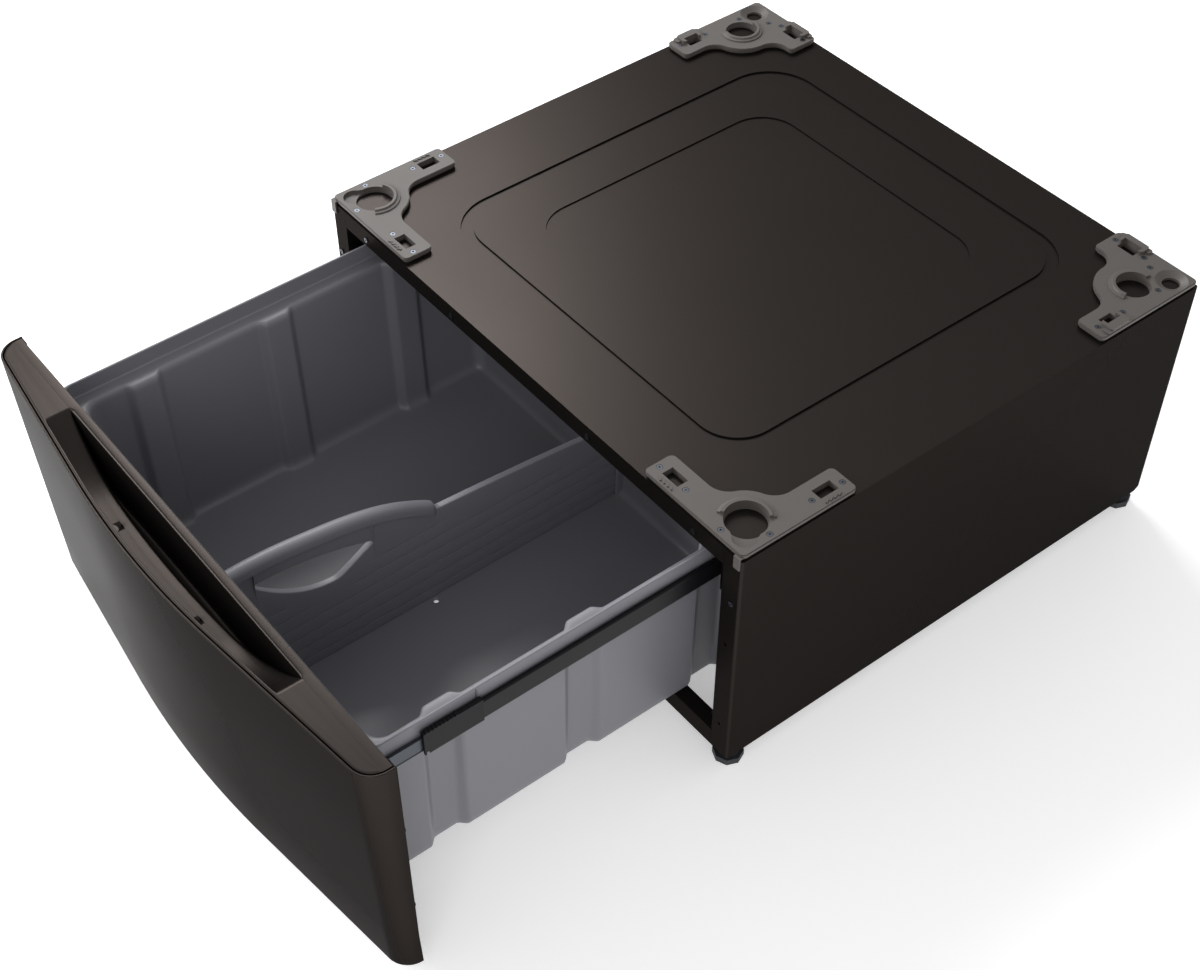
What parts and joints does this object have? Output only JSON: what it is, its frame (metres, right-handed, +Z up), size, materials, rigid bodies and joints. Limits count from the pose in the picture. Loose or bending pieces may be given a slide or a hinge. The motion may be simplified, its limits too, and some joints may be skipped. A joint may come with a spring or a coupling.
{
  "type": "laundry pedestal with drawer",
  "caption": "Low steel pedestal for a laundry machine, with moulded corner seats on top and a deep bow-fronted storage drawer with a lift-out divider, drawn part of the way out.",
  "frame": {"origin": "on the floor, under the middle of the outline with the drawer drawn out as stored", "axes": "+Z up, -Y to the front where the drawer comes out, +X to the right of a person facing the drawer"},
  "size_m": [0.686, 1.0635, 0.331],
  "materials": {
    "painted_steel": "satin",
    "seat_plastic": "matte",
    "tub_plastic": "matte",
    "zinc_steel": "bright zinc",
    "black_steel": "satin",
    "black_plastic": "matte",
    "foot_rubber": "matte"
  },
  "bodies": {
    "cabinet": {"top_panel": "painted_steel", "side_panel_left": "painted_steel", "side_panel_right": "painted_steel", "back_panel": "painted_steel", "base_rail_front": "painted_steel", "base_rail_rear": "painted_steel", "foot_bracket_front_left": "zinc_steel", "foot_bracket_front_right": "zinc_steel", "foot_bracket_rear_left": "zinc_steel", "foot_bracket_rear_right": "zinc_steel", "lock_nuts": "zinc_steel", "corner_seat_front_left": "seat_plastic", "corner_seat_front_right": "seat_plastic", "corner_seat_rear_left": "seat_plastic", "corner_seat_rear_right": "seat_plastic", "seat_screws": "zinc_steel", "frame_screws": "zinc_steel", "slide_mount_left": "painted_steel", "slide_mount_right": "painted_steel", "cabinet_slide_left": "zinc_steel", "cabinet_slide_right": "zinc_steel"},
    "drawer": {"drawer_slide_left": "zinc_steel", "drawer_slide_right": "zinc_steel", "front_angle_left": "zinc_steel", "front_angle_right": "zinc_steel", "drawer_front": "painted_steel", "drawer_front_cap": "painted_steel", "drawer_front_back_plate": "painted_steel", "front_screws": "zinc_steel", "drawer_bumpers": "foot_rubber", "drawer_tub": "tub_plastic"},
    "divider": {"divider": "tub_plastic"},
    "middle_left": {"middle_slide_left": "black_steel", "slide_end_piece_left": "black_plastic"},
    "ball_cage_left": {"ball_cage_left": "zinc_steel"},
    "middle_right": {"middle_slide_right": "black_steel", "slide_end_piece_right": "black_plastic"},
    "ball_cage_right": {"ball_cage_right": "zinc_steel"},
    "foot_front_left": {"foot_pad_front_left": "foot_rubber", "foot_stem_front_left": "zinc_steel"},
    "foot_front_right": {"foot_pad_front_right": "foot_rubber", "foot_stem_front_right": "zinc_steel"},
    "foot_rear_left": {"foot_pad_rear_left": "foot_rubber", "foot_stem_rear_left": "zinc_steel"},
    "foot_rear_right": {"foot_pad_rear_right": "foot_rubber", "foot_stem_rear_right": "zinc_steel"}
  },
  "joints": [
    {"name": "drawer_slide_out", "type": "slide", "parent": "cabinet", "child": "drawer", "axis": [0, -1, 0], "range_m": [-0.374, 0.05]},
    {"name": "divider_lift", "type": "slide", "parent": "drawer", "child": "divider", "axis": [0, 0, 1], "range_m": [0, 0.11]},
    {"name": "middle_slide_out_left", "type": "slide", "parent": "cabinet", "child": "middle_left", "axis": [0, -1, 0], "range_m": [-0.326, 0.044]},
    {"name": "ball_cage_run_left", "type": "slide", "parent": "cabinet", "child": "ball_cage_left", "axis": [0, -1, 0], "range_m": [-0.163, 0.022]},
    {"name": "middle_slide_out_right", "type": "slide", "parent": "cabinet", "child": "middle_right", "axis": [0, -1, 0], "range_m": [-0.326, 0.044]},
    {"name": "ball_cage_run_right", "type": "slide", "parent": "cabinet", "child": "ball_cage_right", "axis": [0, -1, 0], "range_m": [-0.163, 0.022]},
    {"name": "foot_screw_front_left", "type": "slide", "parent": "cabinet", "child": "foot_front_left", "axis": [0, 0, -1], "range_m": [0, 0.018]},
    {"name": "foot_screw_front_right", "type": "slide", "parent": "cabinet", "child": "foot_front_right", "axis": [0, 0, -1], "range_m": [0, 0.018]},
    {"name": "foot_screw_rear_left", "type": "slide", "parent": "cabinet", "child": "foot_rear_left", "axis": [0, 0, -1], "range_m": [0, 0.018]},
    {"name": "foot_screw_rear_right", "type": "slide", "parent": "cabinet", "child": "foot_rear_right", "axis": [0, 0, -1], "range_m": [0, 0.018]}
  ],
  "couplings": [
    {"joint": "middle_slide_out_left", "follows": "drawer_slide_out", "ratio": 0.86898},
    {"joint": "middle_slide_out_right", "follows": "drawer_slide_out", "ratio": 0.86898},
    {"joint": "ball_cage_run_left", "follows": "drawer_slide_out", "ratio": 0.43449},
    {"joint": "ball_cage_run_right", "follows": "drawer_slide_out", "ratio": 0.43449}
  ]
}
